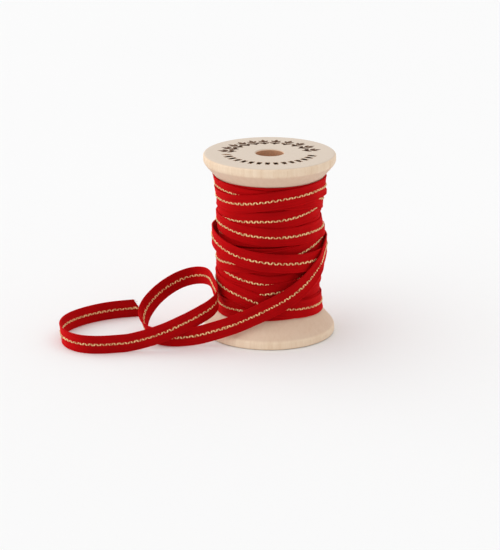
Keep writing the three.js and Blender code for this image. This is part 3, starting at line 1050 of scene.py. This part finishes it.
class RIBBON_OT_stage(bpy.types.Operator):
    """Sets the floor, the soft light and the camera"""
    bl_idname = "ribbon_spool.stage"
    bl_label = "Set Stage"
    bl_options = {"REGISTER", "UNDO"}

    def execute(self, context):
        self.add_floor()
        self.add_light(context)
        self.add_camera(context)
        context.scene.view_settings.view_transform = "Standard"
        return {"FINISHED"}

    def add_floor(self):
        bpy.ops.object.select_all(action="DESELECT")
        bpy.ops.mesh.primitive_plane_add(size=6)
        floor = bpy.context.object
        floor.name = "floor"
        floor.data.materials.append(material_for("pale_floor", floor_material, settings().colours))

    def add_light(self, context):
        world = bpy.data.worlds.new("soft_room")
        world.use_nodes = True
        background = world.node_tree.nodes["Background"]
        background.inputs["Color"].default_value = (1, 1, 1, 1)
        background.inputs["Strength"].default_value = ROOM_BRIGHTNESS
        context.scene.world = world
        for name, strength, turn in LIGHTS:
            lamp = bpy.data.lights.new(name, "SUN")
            lamp.energy = strength
            lamp.angle = math.radians(LIGHT_SPREAD)
            light = bpy.data.objects.new(name, lamp)
            light.rotation_euler = [math.radians(angle) for angle in turn]
            context.scene.collection.objects.link(light)

    def add_camera(self, context):
        lens = bpy.data.cameras.new("camera")
        lens.lens = CAMERA_LENS
        lens.sensor_width = 36
        lens.clip_start = 0.01
        camera = bpy.data.objects.new("camera", lens)
        camera.location = CAMERA_PLACE
        camera.rotation_euler = [math.radians(angle) for angle in CAMERA_TURN]
        context.scene.collection.objects.link(camera)
        context.scene.camera = camera


class RIBBON_OT_free_end(bpy.types.Operator):
    """Makes the free end of the ribbon, its gold yarn on both faces and its cut end"""
    bl_idname = "ribbon_spool.free_end"
    bl_label = "Make Free End"
    bl_options = {"REGISTER", "UNDO"}

    def execute(self, context):
        draw = np.random.RandomState(SEED)
        red, gold = cloth_finishes()
        outer, inner, outward, lengths = free_end_faces()
        ribbon = ribbon_object("free_ribbon_end", outer, inner, lengths)
        stitch = settings().stitch
        front = stitch_object("free_end_stitch", outer, outward, lengths, stitch, draw)
        back = stitch_object("free_end_stitch_back", inner, -outward, lengths, stitch, draw, math.pi)
        threads = frayed_threads(outer, inner, draw)
        place_piece(ribbon, "free_ribbon_end", red, "free_ribbon", ["free_end"])
        place_piece(front, "free_end_stitch", gold, "free_ribbon", ["free_end_gold_yarn"])
        place_piece(back, "free_end_stitch_back", gold, "free_ribbon")
        place_piece(threads, "frayed_cut_end", red, "free_ribbon")
        return {"FINISHED"}


class RIBBON_OT_spool(bpy.types.Operator):
    """Turns the wooden spool with its bore"""
    bl_idname = "ribbon_spool.spool"
    bl_label = "Turn Spool"
    bl_options = {"REGISTER", "UNDO"}

    def execute(self, context):
        piece = turn_on_lathe(spool_profile(settings().spool))
        wood = material_for("turned_pale_wood", wood_material, settings().colours)
        place_piece(piece, "wooden_spool", wood, "root", ["spool"])
        return {"FINISHED"}


class RIBBON_OT_burnt_pattern(bpy.types.Operator):
    """Burns the leaf and bead pattern into the upper end face"""
    bl_idname = "ribbon_spool.burnt_pattern"
    bl_label = "Burn Pattern"
    bl_options = {"REGISTER", "UNDO"}

    def execute(self, context):
        colours = settings().colours
        dark = material_for("burnt_wood", burnt_material, "burnt_wood", colours.burnt, colours.wood_dark, 0.5)
        pale = material_for("lightly_burnt_wood", burnt_material, "lightly_burnt_wood",
                            colours.burnt_pale, colours.wood, 0.6)
        burnt_leaves(dark)
        burnt_beads(pale)
        return {"FINISHED"}


class RIBBON_OT_hidden_layers(bpy.types.Operator):
    """Gives the tape and the layers under the winding their finish"""
    bl_idname = "ribbon_spool.hidden_layers"
    bl_label = "Finish Hidden Layers"
    bl_options = {"REGISTER", "UNDO"}

    def execute(self, context):
        cloth = material_for("red_woven_layers", sleeve_material, settings().colours)
        finishes = {"start_tape": material_for("paper_tape", tape_material)}
        finishes.update({f"ribbon_layer_{number}": cloth for number in range(1, 5)})
        for name, material in finishes.items():
            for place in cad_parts[name].material_slots:
                place.material = material
        return {"FINISHED"}


def cloth_finishes():
    colours = settings().colours
    return (material_for("red_woven_ribbon", ribbon_material, colours),
            material_for("gold_metallic_yarn", gold_material, colours))


class RIBBON_OT_winding(bpy.types.Operator):
    """Winds the ribbon: the layer under the visible turns, the visible turns and the last turn"""
    bl_idname = "ribbon_spool.winding"
    bl_label = "Wind Ribbon"
    bl_options = {"REGISTER", "UNDO"}

    def execute(self, context):
        draw = np.random.RandomState(SEED + 1)
        finishes = cloth_finishes()
        sizes = settings().stitch
        under, strips, field = wind_ribbon()
        wound_pieces("under_winding", "root", under.rows(), finishes, sizes, draw, ["ribbon_layer_5"])
        for turn in sorted(strips):
            nodes = [f"outer_turn_{turn}", f"outer_turn_{turn}_gold_yarn"]
            wound_pieces(f"wound_turn_{turn}", "root", strips[turn].rows(), finishes, sizes, draw, nodes)
        self.wind_last_turn(field, finishes, sizes, draw)
        return {"FINISHED"}

    def wind_last_turn(self, field, finishes, sizes, draw):
        """The last turn keeps one radius, clear of all that it passes as it comes off."""
        first_angle, last_angle = LAST_COURSE[0][0], LAST_COURSE[-1][0]
        row_count = int((first_angle - last_angle) / COLUMN_ANGLE) + 1
        heights = course_heights(LAST_COURSE, row_count, first_angle)
        inner_radius = LAST_TURN_RADIUS - THICKNESS / 2
        swept = np.abs(PACK_HEIGHTS - (heights.min() + heights.max()) / 2) < np.ptp(heights) / 2 + HALF_WIDTH
        room = inner_radius - field[swept].max()
        if room < 0:
            raise RuntimeError("the last turn would cut into the turns it passes")
        angles = first_angle - COLUMN_ANGLE * np.arange(row_count)
        angles = np.append(angles, last_angle - EDGE_ANGLE)
        heights = np.append(heights, LAST_COURSE[-1][1])
        stretch = np.ones(len(angles))
        inner = np.full((len(angles), len(LAYING_OFFSETS)), inner_radius)
        rows = [angles, heights, stretch, inner]
        nodes = ["last_turn", "last_turn_gold_yarn"]
        wound_pieces("last_wound_turn", "free_ribbon", rows, finishes, sizes, draw, nodes)


# ------------------------------------------------------------------ panel and add-on

class SpoolSettings(bpy.types.PropertyGroup):
    spool: bpy.props.PointerProperty(
        type=SpoolSizes, name="Spool", description="Sizes of the wooden spool")
    stitch: bpy.props.PointerProperty(
        type=StitchSizes, name="Stitch", description="Sizes of the gold stitch")
    colours: bpy.props.PointerProperty(
        type=FinishColours, name="Colours", description="Colours of all finishes")


OPERATORS = (RIBBON_OT_stage, RIBBON_OT_free_end, RIBBON_OT_spool, RIBBON_OT_burnt_pattern,
             RIBBON_OT_hidden_layers, RIBBON_OT_winding)


class RIBBON_PT_panel(bpy.types.Panel):
    """Sizes, colours and steps of the ribbon spool"""
    bl_idname = "RIBBON_PT_panel"
    bl_label = "Ribbon Spool"
    bl_space_type = "VIEW_3D"
    bl_region_type = "UI"
    bl_category = "Ribbon Spool"

    def draw(self, context):
        chosen = context.scene.ribbon_spool
        for group in (chosen.spool, chosen.stitch, chosen.colours):
            column = self.layout.column(align=True)
            for name in group.__annotations__:
                column.prop(group, name)
        for operator in OPERATORS:
            self.layout.operator(operator.bl_idname)


CLASSES = (SpoolSizes, StitchSizes, FinishColours, SpoolSettings) + OPERATORS + (RIBBON_PT_panel,)


def register():
    for item in CLASSES:
        bpy.utils.register_class(item)
    bpy.types.Scene.ribbon_spool = bpy.props.PointerProperty(type=SpoolSettings)


def unregister():
    del bpy.types.Scene.ribbon_spool
    for item in reversed(CLASSES):
        bpy.utils.unregister_class(item)


def main():
    register()
    steps = bpy.ops.ribbon_spool
    steps.stage()
    steps.free_end()
    steps.spool()
    steps.burnt_pattern()
    steps.hidden_layers()
    steps.winding()


if __name__ == "__main__":
    main()
